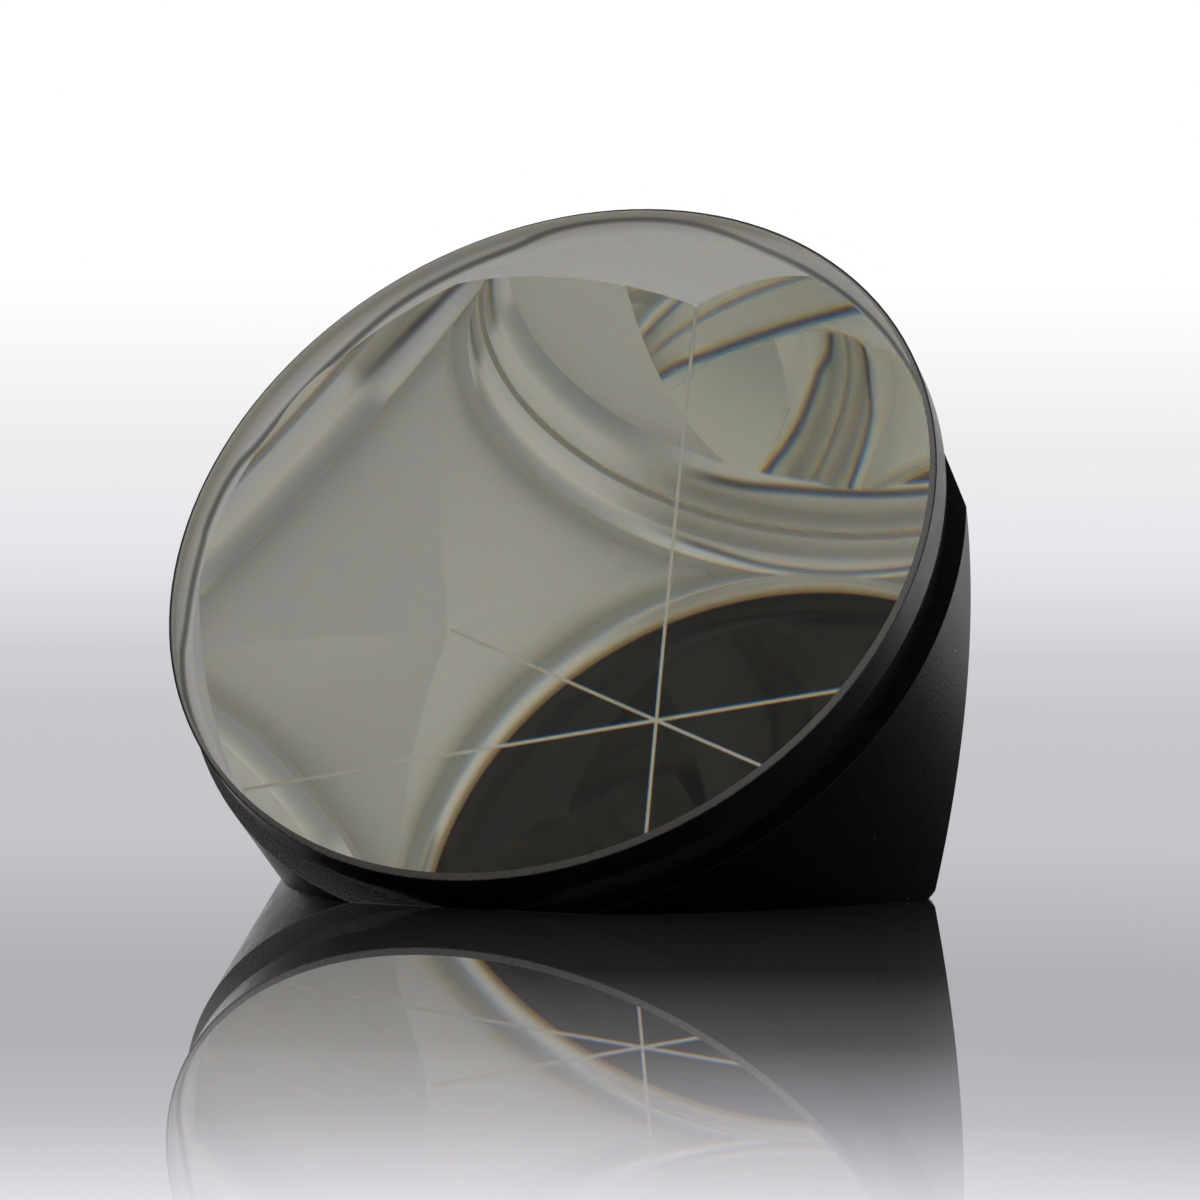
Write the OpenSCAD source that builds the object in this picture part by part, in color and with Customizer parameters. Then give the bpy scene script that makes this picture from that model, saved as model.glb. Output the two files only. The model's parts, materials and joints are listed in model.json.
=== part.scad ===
// Corner cube prism: a solid glass retroreflector with three silvered facets, lying on one of them.
// The origin is on the resting facet, straight below the centre of the entrance face.
// +Z is up, and the entrance face looks towards -Y and upwards. Sizes are in millimetres.

/* [Glass] */
// Diameter of the glass over its three flaps
body_d = 50.8; // [25.4:0.1:76.2]
// Radial width of the step from the flaps to the round rim
rim_step = 0.6; // [0.3:0.05:2]
// Depth behind the entrance face where the facets first cut into the rim
uncut_depth = 3.63; // [2.6:0.01:8]
// Depth of the straight land of the rim behind the entrance face
rim_land = 2.3; // [0.8:0.1:4]
// Depth of the shelf behind the entrance face
shelf_depth = 4.7; // [4.2:0.1:8]
// Radial depth of the relief ground into the rim at the shelf
relief_depth = 0.6; // [0.1:0.05:1.5]

/* [Edges] */
// Width of the bevel ground round the entrance face
front_bevel = 0.3; // [0.1:0.05:0.7]
// Width of the flat ground along each roof edge
roof_bevel = 0.2; // [0.1:0.05:1.5]
// Length of flap wall ground away ahead of each flap tip
tip_trim = 0.3; // [0.1:0.05:2]

/* [Coats] */
// Thickness of the silver film on each facet
silver_t = 0.02; // [0.01:0.01:0.1]
// Thickness of the copper film behind the silver
copper_t = 0.03; // [0.01:0.01:0.1]
// Thickness of the black paint on the facets and walls
paint_t = 0.05; // [0.03:0.01:0.3]

/* [Hidden] */
$fn = 180;

glass_tint = [0.72, 0.78, 0.74, 0.45];
silver_tint = [0.88, 0.88, 0.86];
copper_tint = [0.72, 0.43, 0.28];
paint_tint = [0.05, 0.05, 0.055];

body_r = body_d / 2;
rim_r = body_r - rim_step;
relief_r = rim_r - relief_depth;

// Height of the glass from its virtual apex to the entrance face
glass_height = sqrt(2) * rim_r + uncut_depth;

// Tilt of the optical axis from the vertical while one facet lies flat
tilt = acos(1 / sqrt(3));
axis_dir = [0, -sin(tilt), cos(tilt)];

// Edge length that makes a cutting block larger than the prism
reach = 2 * (glass_height + body_r);

// The two metal films together, and all the coats on a facet
film_t = silver_t + copper_t;
coat_t = film_t + paint_t;

// The roof edges leave the wall at this depth, and the trim of the tips starts ahead of it
tip_depth = glass_height - body_r / sqrt(2);
trim_depth = tip_depth - tip_trim;
// The trim leans halfway between the wall and the roof edge, and goes on past the coated apex
trim_slope = tan((90 - asin(1 / sqrt(3))) / 2);
end_depth = glass_height + 2 * coat_t;
trim_end_r = body_r - trim_slope * (end_depth - trim_depth);

// The paint of the rim ends on the paint of the shelf
seam_depth = shelf_depth - paint_t;

// Facets are numbered as turns of 120 degrees from the resting one, and flaps from the top one
base_facet = 0;
right_facet = 1;
left_facet = 2;
top_flap = 0;
left_flap = 1;
right_flap = 2;

// The bevelled strip at a roof edge covers this much of a facet
inset = roof_bevel / sqrt(2);

// Width of the bevel of a roof edge after a coat of thickness t has rounded it evenly
function coated_bevel(t) = roof_bevel + 2 * t * (sqrt(2) - 1);

// Section of all the coats across a roof edge: x runs into the facet, y rises towards the glass
coat_start = coated_bevel(coat_t) / sqrt(2) - coat_t;
coat_middle = (coat_start - coat_t) / 2;
coat_profile = [
    [reach, -coat_t],
    [coat_start, -coat_t],
    [coat_middle, coat_middle],
    [inset, inset],
    [reach, inset]
];

// Section of what the paint leaves out: the glass and the two metal films
bed_profile = [
    [reach, -film_t],
    [inset, -film_t],
    [inset, 0],
    [-inset, 2 * inset],
    [reach, 2 * inset]
];

// Height above the apex, along the axis, of a depth behind the entrance face
function at(depth) = glass_height - depth;

// Radius of the relief at a depth between the land and the shelf
function relief_at(depth) = rim_r - relief_depth * (depth - rim_land) / (shelf_depth - rim_land);

// Seats the prism on its base coat, below the centre of the entrance face
module seated() {
    translate([0, glass_height * sin(tilt), coat_t]) children();
}

// From an upright axis to the resting tilt
module tilted() {
    rotate([tilt, 0, 0]) children();
}

// Turns what is made for the resting facet or the top flap to the place of number k
module turned_to(k) {
    seated() rotate(a = 120 * k, v = axis_dir) children();
}

// From a facet lying flat at the apex, its edges along +X and +Y, to the resting facet
module on_base() {
    rotate([0, 0, -135]) children();
}

// The ground outside of the glass, all round
module turned() {
    tilted() rotate_extrude() polygon([
        [0, at(0)],
        [rim_r - front_bevel, at(0)],
        [rim_r, at(front_bevel)],
        [rim_r, at(rim_land)],
        [relief_r, at(shelf_depth)],
        [body_r, at(shelf_depth)],
        [body_r, at(trim_depth)],
        [trim_end_r, at(end_depth)],
        [0, at(end_depth)]
    ]);
}

// A square bar whose flat side bevels the edge that runs along +X
module edge_bar(width) {
    rotate([45, 0, 0]) translate([-width, -width / 2, -width / 2]) cube([reach + 2 * width, width, width]);
}

// The cube corner, grown outwards by t, with its three roof edges and its apex bevelled
module cube_corner(t) {
    width = coated_bevel(t);
    on_base() translate([-t, -t, -t]) difference() {
        cube(reach);
        edge_bar(width);
        rotate([0, 0, 90]) edge_bar(width);
        rotate([0, -90, 0]) edge_bar(width);
    }
}

// A body over the whole resting facet with the same section across both of its roof edges
module corner_body(profile) {
    intersection() {
        rotate([90, 0, 0]) linear_extrude(2 * reach, center = true) polygon(profile);
        rotate([90, 0, 90]) linear_extrude(2 * reach, center = true) polygon(profile);
    }
}

// A flat film on the resting facet, up to its bevelled edges, between two heights
module film(low, high) {
    intersection() {
        turned();
        on_base() translate([inset, inset, low]) cube([reach, reach, high - low]);
    }
}

// A coat of paint on the turned wall, as deep as the facet coats at its edges
module wall_coat(profile) {
    intersection() {
        tilted() rotate_extrude() polygon(profile);
        cube_corner(coat_t);
    }
}

// The third of the prism about its top flap
module top_third() {
    tilted() linear_extrude(2 * reach, center = true)
        polygon([[0, 0], reach * [sqrt(3), 1], [0, 3 * reach], reach * [-sqrt(3), 1]]);
}

module prism_glass() {
    color(glass_tint) seated() intersection() {
        turned();
        cube_corner(0);
    }
}

module rim_paint() {
    color(paint_tint) seated() wall_coat([
        [rim_r, at(front_bevel)],
        [rim_r + paint_t, at(front_bevel)],
        [rim_r + paint_t, at(rim_land)],
        [relief_at(seam_depth) + paint_t, at(seam_depth)],
        [relief_at(seam_depth), at(seam_depth)],
        [rim_r, at(rim_land)]
    ]);
}

module flap_paint(k) {
    color(paint_tint) turned_to(k) intersection() {
        wall_coat([
            [relief_at(seam_depth), at(seam_depth)],
            [body_r + paint_t, at(seam_depth)],
            [body_r + paint_t, at(trim_depth)],
            [trim_end_r + paint_t, at(end_depth)],
            [trim_end_r, at(end_depth)],
            [body_r, at(trim_depth)],
            [body_r, at(shelf_depth)],
            [relief_r, at(shelf_depth)]
        ]);
        top_third();
    }
}

module silver_film(k) {
    color(silver_tint) turned_to(k) film(-silver_t, 0);
}

module copper_film(k) {
    color(copper_tint) turned_to(k) film(-film_t, -silver_t);
}

module facet_paint(k) {
    color(paint_tint) turned_to(k) intersection() {
        turned();
        on_base() difference() {
            corner_body(coat_profile);
            corner_body(bed_profile);
        }
    }
}

module flap_paint_top() { flap_paint(top_flap); }
module flap_paint_left() { flap_paint(left_flap); }
module flap_paint_right() { flap_paint(right_flap); }
module silver_base() { silver_film(base_facet); }
module silver_left() { silver_film(left_facet); }
module silver_right() { silver_film(right_facet); }
module copper_base() { copper_film(base_facet); }
module copper_left() { copper_film(left_facet); }
module copper_right() { copper_film(right_facet); }
module facet_paint_base() { facet_paint(base_facet); }
module facet_paint_left() { facet_paint(left_facet); }
module facet_paint_right() { facet_paint(right_facet); }

prism_glass();
rim_paint();
flap_paint_top();
flap_paint_left();
flap_paint_right();
silver_base();
silver_left();
silver_right();
copper_base();
copper_left();
copper_right();
facet_paint_base();
facet_paint_left();
facet_paint_right();
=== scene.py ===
"""Corner cube prism: a solid glass retroreflector with three silvered facets, lying on one of them."""

import json
import math

import bmesh
import bpy
from mathutils import Matrix, Vector


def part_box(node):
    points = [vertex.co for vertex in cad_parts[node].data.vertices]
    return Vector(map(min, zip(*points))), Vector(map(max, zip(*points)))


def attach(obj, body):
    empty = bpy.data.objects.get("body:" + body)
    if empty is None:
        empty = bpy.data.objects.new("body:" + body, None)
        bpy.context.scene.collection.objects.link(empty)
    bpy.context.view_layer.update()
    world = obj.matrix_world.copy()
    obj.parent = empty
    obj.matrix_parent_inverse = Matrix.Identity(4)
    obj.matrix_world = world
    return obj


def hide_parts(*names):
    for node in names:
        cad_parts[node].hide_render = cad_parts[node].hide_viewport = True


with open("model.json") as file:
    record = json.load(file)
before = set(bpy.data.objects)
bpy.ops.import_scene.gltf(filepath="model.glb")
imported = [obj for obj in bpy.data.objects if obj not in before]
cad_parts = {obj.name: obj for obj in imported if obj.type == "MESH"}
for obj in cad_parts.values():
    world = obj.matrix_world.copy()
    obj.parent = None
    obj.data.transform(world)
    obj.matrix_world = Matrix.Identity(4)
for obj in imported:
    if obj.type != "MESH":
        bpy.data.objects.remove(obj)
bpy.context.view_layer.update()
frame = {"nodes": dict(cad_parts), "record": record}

bl_info = {
    "name": "Corner Cube Prism",
    "version": (1, 0, 0),
    "blender": (4, 5, 0),
    "location": "View3D > Sidebar > Prism",
    "description": "Dresses a solid glass corner cube prism and the studio it is shown in",
    "category": "Object",
}

MM = 0.001
BODY = "root"
FACET_NAMES = ("base", "left", "right")
FLAP_NAMES = ("top", "left", "right")
MOUNTS = {mount["name"]: mount for mount in frame["record"]["mounts"]}
FACE_CENTRE = Vector(MOUNTS["entrance_face"]["pos_m"])
WALL_PAINT = 0.05 * MM

# Tilt of the optical axis from the vertical while one facet lies flat
TILT = math.acos(1 / math.sqrt(3))

# Turns of the facets' outward normals about the axis: resting, right and left
FACET_TURNS = (180.0, 60.0, -60.0)

# Refractive index of borosilicate crown glass for yellow light
CROWN_INDEX = 1.517

# Material slots of the glass
ENTRANCE, SILVERED, GROUND, BEVEL, ROOF = range(5)


def linear(hex_colour):
    """An sRGB hex colour as linear RGBA."""
    parts = [int(hex_colour[i:i + 2], 16) / 255 for i in (1, 3, 5)]
    return [c / 12.92 if c <= 0.04045 else ((c + 0.055) / 1.055) ** 2.4 for c in parts] + [1.0]


def length(name, description, default):
    """A length in metres that a user can change."""
    return bpy.props.FloatProperty(
        name=name, description=description, default=default, precision=5, unit="LENGTH")


def place(name, description, millimetres):
    """A place in metres that a user can change, from its default in millimetres."""
    return bpy.props.FloatVectorProperty(
        name=name, description=description, default=[c * MM for c in millimetres],
        subtype="TRANSLATION", unit="LENGTH")


def colour(name, description, hex_colour):
    """A colour that a user can change."""
    return bpy.props.FloatVectorProperty(
        name=name, description=description, default=linear(hex_colour)[:3],
        min=0.0, max=1.0, subtype="COLOR")


class PrismSizes(bpy.types.PropertyGroup):
    """Sizes of the glass, in metres."""

    rim_radius: length(
        "Rim radius", "Radius of the glass rim under its paint",
        MOUNTS["rim"]["dims"]["r_mm"] * MM - WALL_PAINT)
    rim_step: length("Rim step", "Radial width of the step from the flaps to the round rim", 0.6 * MM)
    rim_land: length("Rim land", "Depth of the straight land of the rim behind the entrance face", 2.3 * MM)
    shelf_depth: length("Shelf depth", "Depth of the shelf behind the entrance face", 4.7 * MM)
    relief_depth: length("Relief depth", "Radial depth of the relief at the shelf", 0.6 * MM)
    front_bevel: length("Front bevel", "Width of the bevel round the entrance face", 0.3 * MM)
    roof_bevel: length("Roof bevel", "Width of the flat ground along each roof edge", 0.2 * MM)
    tip_trim: length("Tip trim", "Length of flap wall ground away ahead of each tip", 0.3 * MM)
    coats: length("Facet coats", "Thickness of silver, copper and paint on a facet together", 0.1 * MM)
    coat_gap: length(
        "Coat gap", "Space between the glass and its coats, so that no two faces coincide", 0.03 * MM)
    steps: bpy.props.IntProperty(
        name="Wall steps", description="Flat steps in one turn of the glass wall", default=720, min=60)


class PrismColours(bpy.types.PropertyGroup):
    """Colours of the glass and its coats."""

    silvered: colour("Silvered facet", "Silver seen through the glass", "#fbfbf7")
    tarnish: colour("Thin silver", "Clouds in the silver seen through the glass", "#f9f9f5")
    # Painted shade: the dark line along the relief stands in for shade in its groove
    wetted: colour("Wetted edge", "Line where the paint has wetted the ground rim", "#3c3a36")
    # Painted light: the top flap wall is drawn lighter than the side flap walls, where more light falls
    flap: colour("Flap wall", "Ground wall of the side flaps, seen from inside", "#e6e7e4")
    lit_top_flap: colour("Top flap wall", "Ground wall of the top flap, seen from inside", "#fdfdfb")
    bevel: colour("Bevel outside", "Ground bevel of the entrance face, seen from outside", "#3a3733")
    bevel_inside: colour("Bevel inside", "Ground bevel of the entrance face, seen from inside", "#c0bdb2")
    roof: colour("Roof edge", "Ground flat along a roof edge", "#bdbbae")
    lacquer: colour("Wall lacquer", "Black lacquer on the flap walls and facets", "#020203")
    satin: colour("Rim lacquer", "Black lacquer on the rim", "#040405")
    wall_streak: colour("Wall streaks", "Brush marks in the lacquer of the rim and flap walls", "#060607")
    facet_streak: colour("Facet streaks", "Brush marks in the lacquer of the facets", "#1a1a1c")
    dust: colour("Dust", "Specks of dust on the lacquer", "#8c8f90")
    silver: colour("Silver", "Back of the silver films", "#f2f0e8")
    copper: colour("Copper", "Electroplated copper", "#c98a6a")


class PrismStage(bpy.types.PropertyGroup):
    """The studio round the prism."""

    lens: bpy.props.FloatProperty(
        name="Lens", description="Focal length of the camera in millimetres", default=150.8, unit="CAMERA")
    camera_spot: place("Camera", "Place of the camera", (127.16, -279.37, 28.06))
    camera_aim: place("Aim", "Point that the camera looks at", (-10.12, 31.60, 17.02))
    camera_roll: bpy.props.FloatProperty(
        name="Roll", description="Turn of the camera about its own axis",
        default=math.radians(0.512), unit="ROTATION")
    table_reach: length("Table reach", "Distance from the prism to each side of the table", 6.0)
    card_size: length("Card size", "Side of the dark card behind the camera", 180 * MM)
    card_back: length("Card distance", "Distance of the dark card behind the camera", 60 * MM)
    shade: bpy.props.FloatProperty(
        name="Shade", description="Share of the table's own tone that takes shadows",
        default=0.45, subtype="FACTOR", min=0.0, max=1.0)


def node(tree, kind, settings=None, links=None):
    """Adds a node. A setting named or numbered as an input is set there. Links join inputs to sockets."""
    made = tree.nodes.new(kind)
    for key, value in (settings or {}).items():
        if isinstance(key, int) or key in made.inputs:
            made.inputs[key].default_value = value
        else:
            setattr(made, key, value)
    for key, socket in (links or {}).items():
        tree.links.new(socket, made.inputs[key])
    return made


def material(name):
    """An empty node material and its tree."""
    made = bpy.data.materials.new(name)
    made.use_nodes = True
    made.node_tree.nodes.clear()
    return made, made.node_tree


def tone_ramp(tree, value, low, high, stops):
    """Tones from low to high of a value. Each stop is a value and the sRGB tone there."""
    share = node(tree, "ShaderNodeMapRange", {1: low, 2: high}, {0: value})
    ramp = node(tree, "ShaderNodeValToRGB", {}, {"Fac": share.outputs[0]})
    elements = ramp.color_ramp.elements
    elements.remove(elements[1])
    (first, tone), *rest = stops
    elements[0].position = (first - low) / (high - low)
    elements[0].color = linear(tone)
    for at, tone in rest:
        elements.new((at - low) / (high - low)).color = linear(tone)
    return ramp.outputs["Color"]


def window(tree, value, rise_start, rise_end, fall_start, fall_end):
    """A smooth rise from 0 to 1 and back over a value."""
    sides = [
        node(tree, "ShaderNodeMapRange", {
            "interpolation_type": "SMOOTHSTEP", 1: start, 2: end, 3: low, 4: 1 - low}, {0: value}).outputs[0]
        for start, end, low in ((rise_start, rise_end, 0.0), (fall_start, fall_end, 1.0))
    ]
    return node(tree, "ShaderNodeMath", {"operation": "MULTIPLY"}, {0: sides[0], 1: sides[1]}).outputs[0]


def glass_height(sizes):
    """Height of the glass from its virtual apex to the entrance face."""
    return (FACE_CENTRE.z - sizes.coats) / math.cos(TILT)


def upright_to_row(sizes):
    """From an upright axis with the virtual apex at the origin to the resting place."""
    below = Matrix.Translation((0, 0, -glass_height(sizes)))
    return Matrix.Translation(FACE_CENTRE) @ Matrix.Rotation(TILT, 4, "X") @ below


def polished_crown_glass():
    """Borosilicate crown glass, ground flat and polished with pitch and rouge.

    The eye sees one sharp, weak reflection of the room and clear glass behind it. Where light enters, red,
    green and blue are bent a little differently, which gives the thin coloured fringes along every dark edge
    inside. The spread is drawn about half as wide again as in real crown glass, because three colours stand
    for them all.
    """
    made, tree = material("polished_crown_glass")
    clear = node(tree, "ShaderNodeBsdfPrincipled", {
        "Base Color": linear("#ffffff"), "Roughness": 0.0, "IOR": CROWN_INDEX, "Transmission Weight": 1.0})
    red, green, blue = [
        node(tree, "ShaderNodeBsdfRefraction", {"Color": linear(tone), "Roughness": 0.0, "IOR": index})
        for tone, index in (("#dc6000", 1.513), ("#94e294", 1.518), ("#0060dc", 1.526))
    ]
    warm = node(tree, "ShaderNodeAddShader", {}, {0: red.outputs[0], 1: green.outputs[0]})
    split = node(tree, "ShaderNodeAddShader", {}, {0: warm.outputs[0], 1: blue.outputs[0]})
    gloss = node(tree, "ShaderNodeBsdfGlossy", {"Color": linear("#ffffff"), "Roughness": 0.0})
    share = node(tree, "ShaderNodeFresnel", {"IOR": CROWN_INDEX})
    entering = node(tree, "ShaderNodeMixShader", {}, {
        0: share.outputs[0], 1: split.outputs[0], 2: gloss.outputs[0]})
    # A ray is split only where it enters the glass, straight from the camera or by way of the table
    path = node(tree, "ShaderNodeLightPath")
    first = node(tree, "ShaderNodeMath", {"operation": "LESS_THAN", 1: 1.5}, {0: path.outputs["Ray Depth"]})
    both = node(tree, "ShaderNodeMixShader", {}, {
        0: first.outputs[0], 1: clear.outputs[0], 2: entering.outputs[0]})
    node(tree, "ShaderNodeOutputMaterial", {}, {"Surface": both.outputs[0]})
    return made


def silvered_facet(colours):
    """Silver deposited from solution on polished glass, seen through it: a bright mirror, slightly warm.

    The film is a little thinner in soft clouds about 8 mm across, which the eye takes as a faint unevenness.
    """
    made, tree = material("silvered_facet")
    where = node(tree, "ShaderNodeTexCoord")
    clouds = node(tree, "ShaderNodeTexNoise", {"Scale": 1 / (8 * MM), "Detail": 1.0}, {
        "Vector": where.outputs["Object"]})
    tone = node(tree, "ShaderNodeMix", {
        "data_type": "RGBA", 6: (*colours.silvered, 1), 7: (*colours.tarnish, 1)}, {0: clouds.outputs[0]})
    shader = node(tree, "ShaderNodeBsdfPrincipled", {"Roughness": 0.0, "Metallic": 1.0}, {
        "Base Color": tone.outputs[2]})
    node(tree, "ShaderNodeOutputMaterial", {}, {"Surface": shader.outputs[0]})
    return made


# Places of the painted shade line on the rim, which stands in for shade in the groove of the relief: bearing
# in degrees from the right of the face, and depth in millimetres
SHADE_LINE_ROUTE = (
    (-180, 3.8), (-172, 3.9), (-158, 3.0), (-143, 2.6), (-120, 3.4), (-90, 4.0), (-67, 3.3), (-55, 3.1),
    (-20, 2.0), (0, 2.3), (15, 2.8), (52, 4.2), (67, 4.0), (97, 2.2), (112, 3.2), (127, 3.5), (157, 4.5),
    (166, 3.8), (174, 3.6), (180, 3.8))


def painted_shade_line(tree, bearing, depth):
    """Share of the painted shade line on the ground rim, by bearing and depth: a dark line that stands in
    for the shade in the groove of the relief.

    The line wanders: it comes nearest to the face ahead of the middle of each flap.
    """
    deepest = 5 * MM
    turn = node(tree, "ShaderNodeMapRange", {1: -math.pi, 2: math.pi}, {0: bearing})
    curve = node(tree, "ShaderNodeFloatCurve", {}, {"Value": turn.outputs[0]})
    points = curve.mapping.curves[0].points
    start, *middle, end = [((angle + 180) / 360, at * MM / deepest) for angle, at in SHADE_LINE_ROUTE]
    points[0].location = start
    points[1].location = end
    for spot in middle:
        points.new(*spot)
    curve.mapping.update()
    edge = node(tree, "ShaderNodeMath", {"operation": "MULTIPLY", 1: deepest}, {0: curve.outputs[0]})
    off = node(tree, "ShaderNodeMath", {"operation": "SUBTRACT"}, {0: depth, 1: edge.outputs[0]})
    far = node(tree, "ShaderNodeMath", {"operation": "ABSOLUTE"}, {0: off.outputs[0]})
    line = node(tree, "ShaderNodeMapRange", {
        "interpolation_type": "SMOOTHSTEP", 1: 0.1 * MM, 2: 0.65 * MM, 3: 0.8, 4: 0.0}, {0: far.outputs[0]})
    # No painted shade line at the lower right
    unlined = window(tree, bearing, *map(math.radians, (-68, -56, -14, 10)))
    lined_share = node(tree, "ShaderNodeMath", {"operation": "SUBTRACT", 0: 1.0}, {1: unlined})
    both = node(tree, "ShaderNodeMath", {"operation": "MULTIPLY"}, {0: line.outputs[0], 1: lined_share.outputs[0]})
    return both.outputs[0]


def fine_ground_glass(sizes, colours):
    """Crown glass ground with fine loose grit, seen from inside the prism: a soft, pale, even bloom.

    The rim's tones by depth and bearing are painted light and shade. At most bearings the land is painted
    greyer and a painted shade line runs along the relief; at the right the land is pale and the relief is
    painted darker towards the shelf, as shade in its corner. The grit leaves pits of about 0.02 mm, which
    are drawn
    0.15 mm wide so that they show.
    """
    made, tree = material("fine_ground_glass")
    turn = upright_to_row(sizes).to_3x3()
    where = node(tree, "ShaderNodeTexCoord")
    spot = node(tree, "ShaderNodeVectorMath", {"operation": "SUBTRACT", 1: FACE_CENTRE}, {
        0: where.outputs["Object"]})
    across, rise, depth = [
        node(tree, "ShaderNodeVectorMath", {"operation": "DOT_PRODUCT", 1: turn @ Vector(way)}, {
            0: spot.outputs[0]}).outputs["Value"]
        for way in ((1, 0, 0), (0, 1, 0), (0, 0, -1))
    ]
    bearing = node(tree, "ShaderNodeMath", {"operation": "ARCTAN2"}, {0: rise, 1: across}).outputs[0]
    shelf = sizes.shelf_depth
    # Painted light and shade by depth down the rim: where the land or the relief is drawn greyer
    painted_rim_shade = tone_ramp(tree, depth, 0, shelf, (
        (0.3 * MM, "#e0ddd3"), (0.8 * MM, "#d2cfc5"), (1.5 * MM, "#b6b3a9"), (2.1 * MM, "#b6b4ab"),
        (2.8 * MM, "#cbc9c2"), (4.0 * MM, "#e8e9e6"), (shelf, "#e8e9e6")))
    painted_right_rim_shade = tone_ramp(tree, depth, 0, shelf, (
        (0.3 * MM, "#f6f7f6"), (1.9 * MM, "#fdfcf7"), (2.3 * MM, "#f9f8f2"), (2.7 * MM, "#e8e8e2"),
        (3.2 * MM, "#d0d2ce"), (3.8 * MM, "#bcc1bf"), (shelf, "#b0b7b6")))
    # The rim's painted shading for the right holds fully at the lower right, and partly at the upper right
    lower_right, upper_right = [
        window(tree, bearing, *map(math.radians, angles))
        for angles in ((-65, -42, -9, -4), (8, 24, 58, 74))
    ]
    right_rim_share = node(tree, "ShaderNodeMath", {"operation": "MULTIPLY_ADD", 1: 0.6}, {
        0: upper_right, 2: lower_right})
    rim = node(tree, "ShaderNodeMix", {"data_type": "RGBA"}, {0: right_rim_share.outputs[0], 6: painted_rim_shade, 7: painted_right_rim_shade})
    # Painted light: the top flap's lighter tone comes in from 0.3 to 0.45 of the radius above the middle
    body = sizes.rim_radius + sizes.rim_step
    upper = node(tree, "ShaderNodeMapRange", {
        "interpolation_type": "SMOOTHSTEP", 1: 0.3 * body, 2: 0.45 * body}, {0: rise})
    flap = node(tree, "ShaderNodeMix", {
        "data_type": "RGBA", 6: (*colours.flap, 1), 7: (*colours.lit_top_flap, 1)}, {0: upper.outputs[0]})
    # Past the relief come the shelf and the flap walls, in the tone of their flap
    behind = node(tree, "ShaderNodeMath", {"operation": "GREATER_THAN", 1: shelf + 0.02 * MM}, {0: depth})
    bloom = node(tree, "ShaderNodeMix", {"data_type": "RGBA"}, {
        0: behind.outputs[0], 6: rim.outputs[2], 7: flap.outputs[2]})
    # Painted shade: a dark line along the relief
    tone = node(tree, "ShaderNodeMix", {"data_type": "RGBA", 7: (*colours.wetted, 1)}, {
        0: painted_shade_line(tree, bearing, depth), 6: bloom.outputs[2]})
    pits = node(tree, "ShaderNodeTexNoise", {"Scale": 1 / (0.15 * MM), "Detail": 1.0}, {
        "Vector": where.outputs["Object"]})
    bump = node(tree, "ShaderNodeBump", {"Strength": 0.1, "Distance": 0.004 * MM}, {
        "Height": pits.outputs[0]})
    shader = node(tree, "ShaderNodeBsdfPrincipled", {
        "Roughness": 0.45, "IOR": CROWN_INDEX, "Transmission Weight": 0.12}, {
        "Base Color": tone.outputs[2], "Normal": bump.outputs[0]})
    node(tree, "ShaderNodeOutputMaterial", {}, {"Surface": shader.outputs[0]})
    return made


def ground_edge(name, roughness, tone_of):
    """Glass edge ground with fine grit: a narrow satin flat whose gloss varies in patches of 0.5 mm.

    tone_of gives the edge's own tone, as a socket of its tree.
    """
    made, tree = material(name)
    where = node(tree, "ShaderNodeTexCoord")
    patches = node(tree, "ShaderNodeTexNoise", {"Scale": 1 / (0.5 * MM), "Detail": 2.0}, {
        "Vector": where.outputs["Object"]})
    rough = node(tree, "ShaderNodeMapRange", {3: roughness - 0.1, 4: roughness + 0.1}, {
        0: patches.outputs[0]})
    shader = node(tree, "ShaderNodeBsdfPrincipled", {}, {
        "Base Color": tone_of(tree, patches), "Roughness": rough.outputs[0]})
    node(tree, "ShaderNodeOutputMaterial", {}, {"Surface": shader.outputs[0]})
    return made


def ground_roof_edge(colours):
    """Flat ground along a roof edge, with metal and paint behind it: the eye sees a thin pale satin line."""

    def tone_of(tree, patches):
        worn = [0.9 * c for c in colours.roof]
        return node(tree, "ShaderNodeMix", {"data_type": "RGBA", 6: (*worn, 1), 7: (*colours.roof, 1)}, {
            0: patches.outputs[0]}).outputs[2]

    return ground_edge("ground_roof_edge", 0.5, tone_of)


def ground_bevel(colours):
    """Bevel ground round the entrance face: a thin satin ring, dark from outside and pale from inside.

    From outside it shows the black paint behind it. From inside it scatters the light that fills the glass.
    """

    def tone_of(tree, patches):
        side = node(tree, "ShaderNodeNewGeometry")
        return node(tree, "ShaderNodeMix", {
            "data_type": "RGBA", 6: (*colours.bevel, 1), 7: (*colours.bevel_inside, 1)}, {
            0: side.outputs["Backfacing"]}).outputs[2]

    return ground_edge("ground_bevel", 0.3, tone_of)


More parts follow.
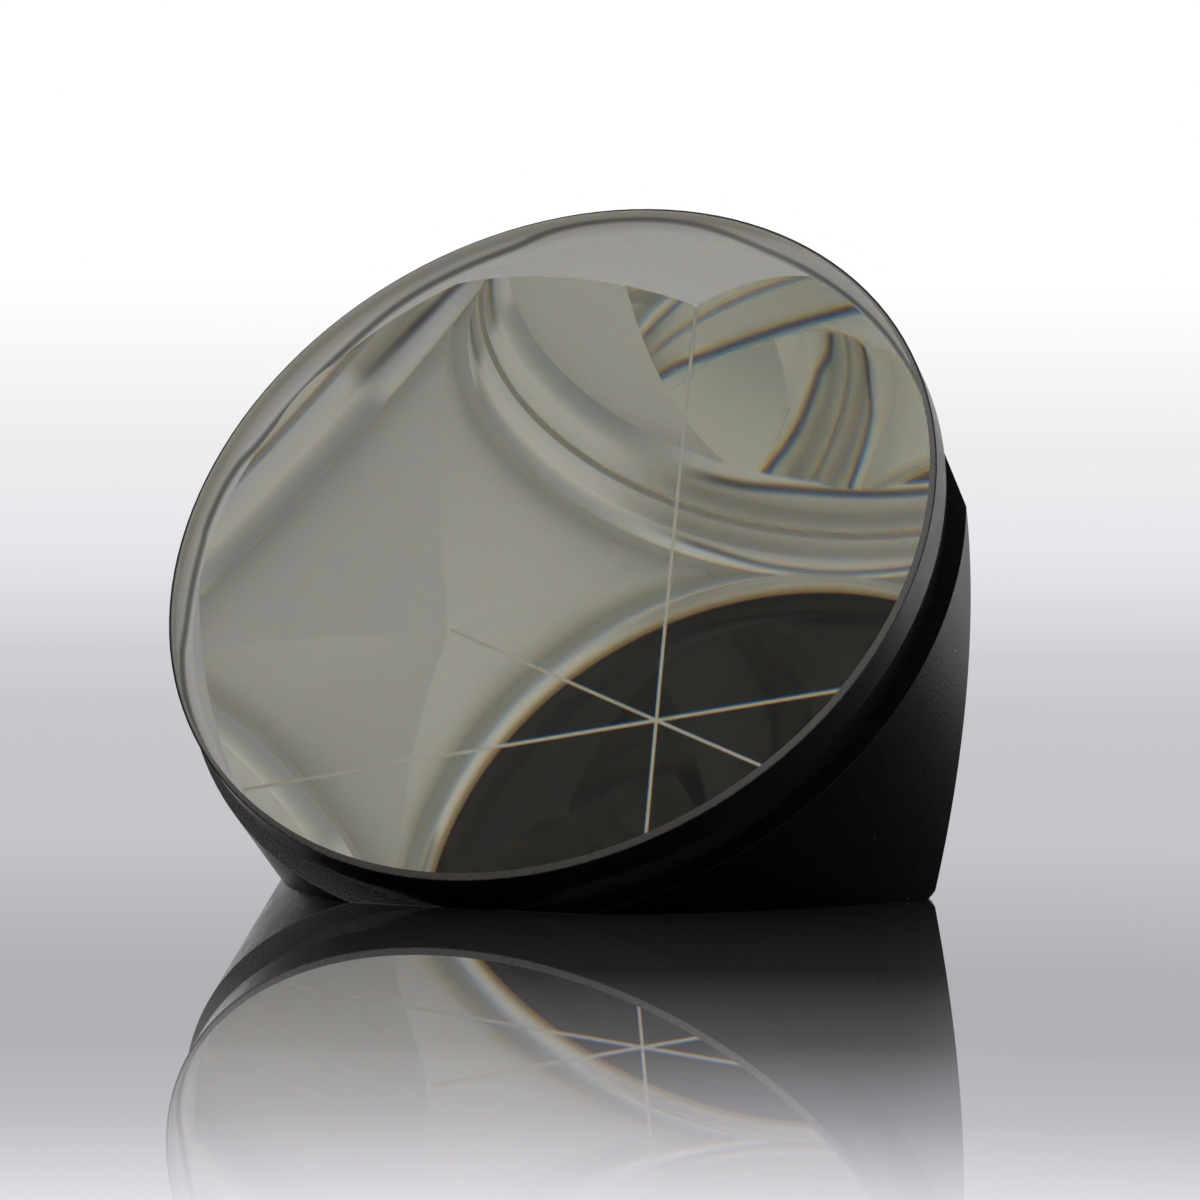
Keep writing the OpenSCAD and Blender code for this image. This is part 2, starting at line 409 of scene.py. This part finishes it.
def brushed_black_lacquer(name, tone, streak, dust, along, gloss, shine, grain_width, grain_depth):
    """Black lacquer brushed on and air dried: satin, with brush marks, a fine grain and specks of dust.

    The brush marks run along one axis, 0 for X or 2 for Z, and the lacquer is a little greyer in them. The
    grain is that of the ground glass or plated copper underneath, drawn coarser than the real 0.02 mm so
    that it shows. Corners are softened over 0.04 mm, about as thick as the lacquer. gloss is the roughness
    and shine the specular level.
    """
    made, tree = material(name)
    where = node(tree, "ShaderNodeTexCoord")
    mark_length = 9 * MM
    mark_width = 0.35 * MM
    marks_apart = [mark_length if axis == along else mark_width for axis in range(3)]
    bristles = node(tree, "ShaderNodeMapping", {"Scale": [1 / width for width in marks_apart]}, {
        "Vector": where.outputs["Object"]})
    marks = node(tree, "ShaderNodeTexNoise", {"Scale": 1.0, "Detail": 1.0}, {"Vector": bristles.outputs[0]})
    grain = node(tree, "ShaderNodeTexNoise", {"Scale": 1 / grain_width, "Detail": 3.0}, {
        "Vector": where.outputs["Object"]})
    soft = node(tree, "ShaderNodeBevel", {"samples": 6, "Radius": 0.04 * MM})
    streaked = node(tree, "ShaderNodeBump", {"Strength": 0.5, "Distance": 0.008 * MM}, {
        "Height": marks.outputs[0], "Normal": soft.outputs[0]})
    bump = node(tree, "ShaderNodeBump", {"Strength": 0.5, "Distance": grain_depth}, {
        "Height": grain.outputs[0], "Normal": streaked.outputs[0]})
    patches = node(tree, "ShaderNodeTexNoise", {"Scale": 1 / (2 * MM), "Detail": 2.0}, {
        "Vector": where.outputs["Object"]})
    rough = node(tree, "ShaderNodeMapRange", {1: 0.3, 2: 0.7, 3: gloss - 0.04, 4: gloss + 0.05}, {
        0: patches.outputs[0]})
    # Specks of dust 0.12 mm wide, one in a quarter of the cells of 1.4 mm
    cell = 1.4 * MM
    cells = node(tree, "ShaderNodeTexVoronoi", {"Scale": 1 / cell}, {"Vector": where.outputs["Object"]})
    speck = node(tree, "ShaderNodeMath", {"operation": "LESS_THAN", 1: 0.06 * MM / cell}, {
        0: cells.outputs["Distance"]})
    pick = node(tree, "ShaderNodeSeparateColor", {}, {0: cells.outputs["Color"]})
    chosen = node(tree, "ShaderNodeMath", {"operation": "LESS_THAN", 1: 0.25}, {0: pick.outputs[0]})
    specks = node(tree, "ShaderNodeMath", {"operation": "MULTIPLY"}, {
        0: speck.outputs[0], 1: chosen.outputs[0]})
    thin = node(tree, "ShaderNodeMapRange", {1: 0.45, 2: 0.75}, {0: marks.outputs[0]})
    brushed = node(tree, "ShaderNodeMix", {"data_type": "RGBA", 6: (*tone, 1), 7: (*streak, 1)}, {
        0: thin.outputs[0]})
    black = node(tree, "ShaderNodeMix", {"data_type": "RGBA", 7: (*dust, 1)}, {
        0: specks.outputs[0], 6: brushed.outputs[2]})
    shader = node(tree, "ShaderNodeBsdfPrincipled", {"Specular IOR Level": shine}, {
        "Base Color": black.outputs[2], "Roughness": rough.outputs[0], "Normal": bump.outputs[0]})
    node(tree, "ShaderNodeOutputMaterial", {}, {"Surface": shader.outputs[0]})
    return made


def metal_film(name, tone, roughness, cloud):
    """A thin metal film, deposited or plated, whose tone and gloss vary in clouds of the given width."""
    made, tree = material(name)
    where = node(tree, "ShaderNodeTexCoord")
    clouds = node(tree, "ShaderNodeTexNoise", {"Scale": 1 / cloud, "Detail": 4.0}, {
        "Vector": where.outputs["Object"]})
    dull = [0.85 * c for c in tone]
    metal = node(tree, "ShaderNodeMix", {"data_type": "RGBA", 6: (*tone, 1), 7: (*dull, 1)}, {
        0: clouds.outputs[0]})
    rough = node(tree, "ShaderNodeMapRange", {3: roughness, 4: roughness + 0.1}, {0: clouds.outputs[0]})
    shader = node(tree, "ShaderNodeBsdfPrincipled", {"Metallic": 1.0}, {
        "Base Color": metal.outputs[2], "Roughness": rough.outputs[0]})
    node(tree, "ShaderNodeOutputMaterial", {}, {"Surface": shader.outputs[0]})
    return made


def dress(node_name, finish):
    """Gives a CAD node one material."""
    slots = frame["nodes"][node_name].data.materials
    slots.clear()
    slots.append(finish)


def wall_profile(sizes):
    """Half section of the ground outside, from the entrance face down, about an upright axis."""
    gap = sizes.coat_gap
    height = glass_height(sizes)
    rim = sizes.rim_radius
    body = rim + sizes.rim_step
    trim = height - body / math.sqrt(2) - sizes.tip_trim
    # The trim of the tips leans halfway between the wall and the roof edge, and goes on past the apex
    lean = math.tan((math.pi / 2 - math.asin(1 / math.sqrt(3))) / 2)
    end = height + 2 * sizes.coats
    depths = (
        (rim - sizes.front_bevel, 0),
        (rim - gap, sizes.front_bevel + gap),
        (rim - gap, sizes.rim_land),
        (rim - sizes.relief_depth - gap, sizes.shelf_depth + gap),
        (body - gap, sizes.shelf_depth + gap),
        (body - gap, trim),
        (body - gap - lean * (end - trim), end),
    )
    return [(radius, height - depth) for radius, depth in depths]


def turn_body(shape, profile, steps):
    """Turns the profile into a closed body with its bevel and entrance face marked."""
    turns = [2 * math.pi * i / steps for i in range(steps)]
    rings = [[shape.verts.new((r * math.cos(t), r * math.sin(t), z)) for t in turns] for r, z in profile]
    for band, (upper, lower) in enumerate(zip(rings, rings[1:])):
        for i in range(steps):
            j = (i + 1) % steps
            face = shape.faces.new((upper[i], lower[i], lower[j], upper[j]))
            face.material_index = GROUND if band else BEVEL
    shape.faces.new(rings[0]).material_index = ENTRANCE
    shape.faces.new(rings[-1][::-1])


def corner_cuts(sizes):
    """Planes of the three facets and three roof flats: outward normal, distance from the apex, material."""
    level = math.sqrt(2 / 3)
    down = -1 / math.sqrt(3)
    turns = [math.radians(turn) for turn in FACET_TURNS]
    normals = [Vector((level * math.sin(turn), level * math.cos(turn), down)) for turn in turns]
    facets = [(normal, -sizes.coat_gap, SILVERED) for normal in normals]
    roofs = [
        ((one + other).normalized(), -sizes.roof_bevel / 2 - sizes.coat_gap, ROOF)
        for one, other in zip(normals, normals[1:] + normals[:1])
    ]
    return facets + roofs


def cut_off(shape, normal, offset, finish):
    """Cuts the body at a plane, closes it and gives the new face its material."""
    cut = bmesh.ops.bisect_plane(
        shape, geom=shape.verts[:] + shape.edges[:] + shape.faces[:], dist=1e-9,
        plane_co=normal * offset, plane_no=normal, clear_outer=True)
    edges = [piece for piece in cut["geom_cut"] if isinstance(piece, bmesh.types.BMEdge)]
    open_edges = [edge for edge in edges if edge.is_valid and edge.is_boundary]
    for face in bmesh.ops.contextual_create(shape, geom=open_edges)["faces"]:
        face.material_index = finish


def check_fit(mesh, node_name, tolerance):
    """Stops if a mesh doesn't fill the space of its CAD node."""
    for corner, choose in zip(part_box(node_name), (min, max)):
        for axis in range(3):
            reach = choose(v.co[axis] for v in mesh.vertices)
            if abs(reach - corner[axis]) > tolerance:
                raise RuntimeError(
                    f"{mesh.name} doesn't fit {node_name} along axis {axis}: {reach} {corner[axis]}")


class PRISM_OT_glass(bpy.types.Operator):
    """Build the solid glass body with its polished, silvered and ground surfaces"""

    bl_idname = "prism.glass"
    bl_label = "Glass body"

    def execute(self, context):
        sizes = context.scene.prism_sizes
        colours = context.scene.prism_colours
        shape = bmesh.new()
        turn_body(shape, wall_profile(sizes), sizes.steps)
        for normal, offset, finish in corner_cuts(sizes):
            cut_off(shape, normal, offset, finish)
        bmesh.ops.recalc_face_normals(shape, faces=shape.faces)
        if any(len(edge.link_faces) != 2 for edge in shape.edges):
            raise RuntimeError("the glass body isn't closed")
        mesh = bpy.data.meshes.new("corner_cube_glass")
        shape.to_mesh(mesh)
        shape.free()
        mesh.transform(upright_to_row(sizes))
        check_fit(mesh, "prism_glass", 0.1 * MM)
        # In the order of the material slots
        for finish in (
                polished_crown_glass(), silvered_facet(colours), fine_ground_glass(sizes, colours),
                ground_bevel(colours), ground_roof_edge(colours)):
            mesh.materials.append(finish)
        piece = bpy.data.objects.new("corner_cube_glass", mesh)
        context.scene.collection.objects.link(piece)
        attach(piece, BODY)
        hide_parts("prism_glass")
        return {"FINISHED"}


class PRISM_OT_wall_paint(bpy.types.Operator):
    """Finish the black lacquer on the rim and the three flap walls"""

    bl_idname = "prism.wall_paint"
    bl_label = "Wall paint"

    def execute(self, context):
        colours = context.scene.prism_colours
        streak = colours.wall_streak
        dust = colours.dust
        dress("rim_paint", brushed_black_lacquer(
            "rim_lacquer", colours.satin, streak, dust, along=0, gloss=0.26, shine=0.5,
            grain_width=0.2 * MM, grain_depth=0.012 * MM))
        lacquer = brushed_black_lacquer(
            "flap_lacquer", colours.lacquer, streak, dust, along=0, gloss=0.2, shine=0.25,
            grain_width=0.16 * MM, grain_depth=0.03 * MM)
        # The lacquer on the left flap is rougher and catches more light
        coarse = brushed_black_lacquer(
            "coarse_flap_lacquer", colours.lacquer, streak, dust, along=0, gloss=0.28, shine=1.0,
            grain_width=0.12 * MM, grain_depth=0.09 * MM)
        for name in FLAP_NAMES:
            dress("flap_paint_" + name, coarse if name == "left" else lacquer)
        return {"FINISHED"}


class PRISM_OT_facet_paint(bpy.types.Operator):
    """Finish the black lacquer on the three plated facets"""

    bl_idname = "prism.facet_paint"
    bl_label = "Facet paint"

    def execute(self, context):
        colours = context.scene.prism_colours
        lacquer = brushed_black_lacquer(
            "facet_lacquer", colours.lacquer, colours.facet_streak, colours.dust, along=2, gloss=0.24,
            shine=0.4, grain_width=0.2 * MM, grain_depth=0.01 * MM)
        for name in FACET_NAMES:
            dress("facet_paint_" + name, lacquer)
        return {"FINISHED"}


class PRISM_OT_metal_films(bpy.types.Operator):
    """Finish the silver and copper films behind the facets"""

    bl_idname = "prism.metal_films"
    bl_label = "Metal films"

    def execute(self, context):
        colours = context.scene.prism_colours
        # The back of chemically deposited silver is milky, with clouds of 3 mm
        silver = metal_film("deposited_silver", colours.silver, 0.05, 3 * MM)
        # Copper plated from an acid bath is salmon pink and matte, with a grain of 0.4 mm
        copper = metal_film("plated_copper", colours.copper, 0.4, 0.4 * MM)
        for name in FACET_NAMES:
            dress("silver_" + name, silver)
            dress("copper_" + name, copper)
        return {"FINISHED"}


def place_camera(scene, stage):
    """The camera, at the photograph's viewing angle."""
    data = bpy.data.cameras.new("camera")
    data.lens = stage.lens
    data.sensor_width = 36
    data.clip_start = 10 * MM
    data.clip_end = 20
    camera = bpy.data.objects.new("camera", data)
    scene.collection.objects.link(camera)
    spot = Vector(stage.camera_spot)
    look = (Vector(stage.camera_aim) - spot).to_track_quat("-Z", "Y").to_matrix().to_4x4()
    camera.matrix_world = Matrix.Translation(spot) @ look @ Matrix.Rotation(stage.camera_roll, 4, "Z")
    scene.camera = camera
    return camera


def stage_sheet(scene, name, corners, finish):
    """A flat sheet that belongs to the stage."""
    mesh = bpy.data.meshes.new(name)
    mesh.from_pydata(corners, [], [(0, 1, 2, 3)])
    mesh.materials.append(finish)
    sheet = bpy.data.objects.new(name, mesh)
    scene.collection.objects.link(sheet)
    return sheet


# The polished table by the sine of the angle that it is seen at: its own tone, and how much it mirrors.
# Nearly edge on its own glowing tone is a painted reflection of the backdrop, and a little steeper it is a
# mirror.
# From the plain sine up it is pale and mirrors little.
TABLE_TONES = (
    (0.003, "#ececee"), (0.024, "#e4e3e8"), (0.041, "#d1d0d6"), (0.045, "#000000"), (0.09, "#020202"),
    (0.106, "#222223"), (0.12, "#565557"), (0.134, "#979599"), (0.152, "#dad8de"), (0.3, "#e8e8ea"))
TABLE_MIRROR = (
    (0.041, "#000000"), (0.045, "#e7e6eb"), (0.123, "#e0dfe4"), (0.152, "#7c7a7e"), (0.3, "#555557"))
PLAIN_SINE = 0.3

# The room lights a level matt surface this many times as brightly as its colour
LEVEL_LIGHT = 1.17

# The backdrop by the height of the direction that the camera looks in
BACKDROP_TONES = ((-0.003, "#ececee"), (0.016, "#f7f7f7"), (0.03, "#ffffff"))

# The backdrop as the table and the lacquer mirror it: greyer low down
MIRRORED_TONES = (
    (0.042, "#e8e8e8"), (0.055, "#dddddd"), (0.08, "#dddddd"), (0.125, "#b3b3b3"), (0.155, "#a6a6a6"),
    (0.3, "#e7e7e7"), (0.4, "#ffffff"))

# Weaker parts of the light overhead: direction, cosines where each starts and is full, and what it leaves
WEAK_LIGHT = (
    ((-0.35, -0.27, 0.90), 0.80, 0.93, 0.42),
    ((-0.40, -0.34, 0.85), 0.978, 0.992, 0.1),
    ((-0.16, 0.36, 0.92), 0.985, 0.995, 0.3),
)

# Direction of the bright end of the room, as rays from inside the glass see it
BRIGHT_END = (-0.5, 0.55, 0.67)


def polished_table(stage):
    """Pale polished table top: a mirror at a low angle, and nearly plain from above, with a soft shadow.

    The camera sees it so. Light that the ground glass scatters meets a pale matt top. Reflections in the
    lacquer show a sheen where the top is nearly edge on and a dark top elsewhere. Rays that have been inside
    the glass see it dark.
    """
    made, tree = material("polished_table")
    slant = node(tree, "ShaderNodeLayerWeight", {"Blend": 0.5})
    steep = node(tree, "ShaderNodeMath", {"operation": "SUBTRACT", 0: 1.0}, {1: slant.outputs["Facing"]})
    own = tone_ramp(tree, steep.outputs[0], 0, PLAIN_SINE, TABLE_TONES)
    mirror = tone_ramp(tree, steep.outputs[0], 0, PLAIN_SINE, TABLE_MIRROR)
    # Part of its own tone glows, so that the shadow on it is soft and pale
    shaded = node(tree, "ShaderNodeVectorMath", {"operation": "SCALE", "Scale": stage.shade / LEVEL_LIGHT}, {
        0: own})
    glow = node(tree, "ShaderNodeEmission", {"Strength": 1 - stage.shade}, {"Color": own})
    matt = node(tree, "ShaderNodeBsdfDiffuse", {}, {"Color": shaded.outputs[0]})
    gloss = node(tree, "ShaderNodeBsdfGlossy", {"Roughness": 0.0}, {"Color": mirror})
    plain = node(tree, "ShaderNodeAddShader", {}, {0: glow.outputs[0], 1: matt.outputs[0]})
    seen = node(tree, "ShaderNodeAddShader", {}, {0: plain.outputs[0], 1: gloss.outputs[0]})
    path = node(tree, "ShaderNodeLightPath")
    dark = node(tree, "ShaderNodeBsdfPrincipled", {
        "Base Color": linear("#060607"), "Roughness": 0.05, "Specular IOR Level": 0.25})
    sheen = node(tree, "ShaderNodeBsdfGlossy", {"Color": linear("#ffffff"), "Roughness": 0.05})
    edge_on = node(tree, "ShaderNodeMapRange", {
        "interpolation_type": "SMOOTHSTEP", 1: 0.74, 2: 0.93, 3: 0.0, 4: 0.85}, {0: slant.outputs["Facing"]})
    outside = node(tree, "ShaderNodeMath", {"operation": "LESS_THAN", 1: 0.5}, {
        0: path.outputs["Transmission Depth"]})
    shine = node(tree, "ShaderNodeMath", {"operation": "MULTIPLY"}, {
        0: edge_on.outputs[0], 1: outside.outputs[0]})
    mirrored = node(tree, "ShaderNodeMixShader", {}, {
        0: shine.outputs[0], 1: dark.outputs[0], 2: sheen.outputs[0]})
    pale = node(tree, "ShaderNodeBsdfDiffuse", {"Color": linear("#e8e8ea")})
    scattered = node(tree, "ShaderNodeMath", {"operation": "GREATER_THAN", 1: 0.5}, {
        0: path.outputs["Diffuse Depth"]})
    other = node(tree, "ShaderNodeMixShader", {}, {
        0: scattered.outputs[0], 1: mirrored.outputs[0], 2: pale.outputs[0]})
    shader = node(tree, "ShaderNodeMixShader", {}, {
        0: path.outputs["Is Camera Ray"], 1: other.outputs[0], 2: seen.outputs[0]})
    node(tree, "ShaderNodeOutputMaterial", {}, {"Surface": shader.outputs[0]})
    return made


def black_velvet():
    """Black velvet: a deep, dull black with a pile of about 1 mm, which the prism shows as its dark disc."""
    made, tree = material("black_velvet")
    where = node(tree, "ShaderNodeTexCoord")
    pile = node(tree, "ShaderNodeTexNoise", {"Scale": 1 / (1 * MM)}, {"Vector": where.outputs["Object"]})
    tone = node(tree, "ShaderNodeMix", {"data_type": "RGBA", 6: linear("#181818"), 7: linear("#202020")}, {
        0: pile.outputs[0]})
    shader = node(tree, "ShaderNodeBsdfPrincipled", {"Roughness": 1.0, "Specular IOR Level": 0.0}, {
        "Base Color": tone.outputs[2]})
    node(tree, "ShaderNodeOutputMaterial", {}, {"Surface": shader.outputs[0]})
    return made


def light_room(scene):
    """A soft white room light, weaker in a few directions. Rays from inside the glass see it mostly dark."""
    world = bpy.data.worlds.new("studio")
    scene.world = world
    world.use_nodes = True
    tree = world.node_tree
    tree.nodes.clear()
    way = node(tree, "ShaderNodeTexCoord").outputs["Generated"]
    split = node(tree, "ShaderNodeSeparateXYZ", {}, {0: way})
    path = node(tree, "ShaderNodeLightPath")
    # Rays that have been inside the glass see the room fall off away from its bright end
    facing = node(tree, "ShaderNodeVectorMath", {
        "operation": "DOT_PRODUCT", 1: Vector(BRIGHT_END).normalized()}, {0: way})
    room = node(tree, "ShaderNodeMapRange", {
        "interpolation_type": "SMOOTHSTEP", 1: -0.2, 2: 0.3, 3: 0.002, 4: 1.0}, {0: facing.outputs["Value"]})
    inside = node(tree, "ShaderNodeMath", {"operation": "GREATER_THAN", 1: 0.5}, {
        0: path.outputs["Transmission Depth"]})
    power = node(tree, "ShaderNodeMapRange", {3: 1.0}, {0: inside.outputs[0], 4: room.outputs[0]}).outputs[0]
    for direction, start, end, least in WEAK_LIGHT:
        facing = node(tree, "ShaderNodeVectorMath", {
            "operation": "DOT_PRODUCT", 1: Vector(direction).normalized()}, {0: way})
        dim = node(tree, "ShaderNodeMapRange", {
            "interpolation_type": "SMOOTHSTEP", 1: start, 2: end, 3: 1.0, 4: least}, {
            0: facing.outputs["Value"]})
        weaker = node(tree, "ShaderNodeMath", {"operation": "MULTIPLY"}, {0: power, 1: dim.outputs[0]})
        power = weaker.outputs[0]
    # Matt surfaces are lit evenly, and more from the front, which fills the glass
    scattered = node(tree, "ShaderNodeMath", {"operation": "GREATER_THAN", 1: 0.5}, {
        0: path.outputs["Diffuse Depth"]})
    front = node(tree, "ShaderNodeMapRange", {1: 0.2, 2: -1.0, 3: 1.05, 4: 2.1}, {0: split.outputs["Y"]})
    power = node(tree, "ShaderNodeMapRange", {}, {0: scattered.outputs[0], 3: power, 4: front.outputs[0]})
    # Only a first reflection shows the greyer low band of the backdrop
    mirrored = tone_ramp(tree, split.outputs["Z"], 0.04, 0.4, MIRRORED_TONES)
    early = node(tree, "ShaderNodeMath", {"operation": "LESS_THAN", 1: 2.5}, {0: path.outputs["Ray Depth"]})
    tint = node(tree, "ShaderNodeMix", {"data_type": "RGBA", 6: linear("#ffffff")}, {
        0: early.outputs[0], 7: mirrored})
    lit = node(tree, "ShaderNodeBackground", {}, {"Strength": power.outputs[0], "Color": tint.outputs[2]})
    seen = node(tree, "ShaderNodeBackground", {}, {
        "Color": tone_ramp(tree, split.outputs["Z"], -0.01, 0.04, BACKDROP_TONES)})
    both = node(tree, "ShaderNodeMixShader", {}, {
        0: path.outputs["Is Camera Ray"], 1: lit.outputs[0], 2: seen.outputs[0]})
    node(tree, "ShaderNodeOutputWorld", {}, {"Surface": both.outputs[0]})


class PRISM_OT_stage(bpy.types.Operator):
    """Build the camera, the table, the dark card behind the camera and the light"""

    bl_idname = "prism.stage"
    bl_label = "Stage"

    def execute(self, context):
        scene = context.scene
        stage = scene.prism_stage
        camera = place_camera(scene, stage)
        reach = stage.table_reach
        square = ((-1, -1), (1, -1), (1, 1), (-1, 1))
        stage_sheet(scene, "table", [(x * reach, y * reach, 0) for x, y in square], polished_table(stage))
        half = stage.card_size / 2
        behind = [camera.matrix_world @ Vector((x * half, y * half, stage.card_back)) for x, y in square]
        card = stage_sheet(scene, "dark_card", behind, black_velvet())
        # The card is there for what comes back out of the glass, and stays out of every other view
        card.visible_camera = False
        card.visible_glossy = False
        card.visible_diffuse = False
        card.visible_shadow = False
        light_room(scene)
        scene.view_settings.view_transform = "Standard"
        # Light crosses the glass many times before it comes out again
        scene.cycles.max_bounces = 40
        scene.cycles.glossy_bounces = 32
        scene.cycles.transmission_bounces = 16
        scene.cycles.diffuse_bounces = 10
        return {"FINISHED"}


class PRISM_PT_panel(bpy.types.Panel):
    """Lists the steps and their settings"""

    bl_label = "Corner Cube Prism"
    bl_idname = "PRISM_PT_panel"
    bl_space_type = "VIEW_3D"
    bl_region_type = "UI"
    bl_category = "Prism"

    def draw(self, context):
        for made in OPERATORS:
            self.layout.operator(made.bl_idname)
        for group, kind in GROUPS.items():
            box = self.layout.box()
            for name in kind.__annotations__:
                box.prop(getattr(context.scene, group), name)


GROUPS = {"prism_sizes": PrismSizes, "prism_colours": PrismColours, "prism_stage": PrismStage}
OPERATORS = (
    PRISM_OT_glass, PRISM_OT_wall_paint, PRISM_OT_facet_paint, PRISM_OT_metal_films, PRISM_OT_stage)


def register():
    for made in (*GROUPS.values(), *OPERATORS, PRISM_PT_panel):
        bpy.utils.register_class(made)
    for name, group in GROUPS.items():
        setattr(bpy.types.Scene, name, bpy.props.PointerProperty(type=group))


def unregister():
    for name in GROUPS:
        delattr(bpy.types.Scene, name)
    for made in (PRISM_PT_panel, *reversed(OPERATORS), *GROUPS.values()):
        bpy.utils.unregister_class(made)


def main():
    """Makes the prism and its stage."""
    register()
    bpy.ops.prism.glass()
    bpy.ops.prism.wall_paint()
    bpy.ops.prism.facet_paint()
    bpy.ops.prism.metal_films()
    bpy.ops.prism.stage()


if __name__ == "__main__":
    main()
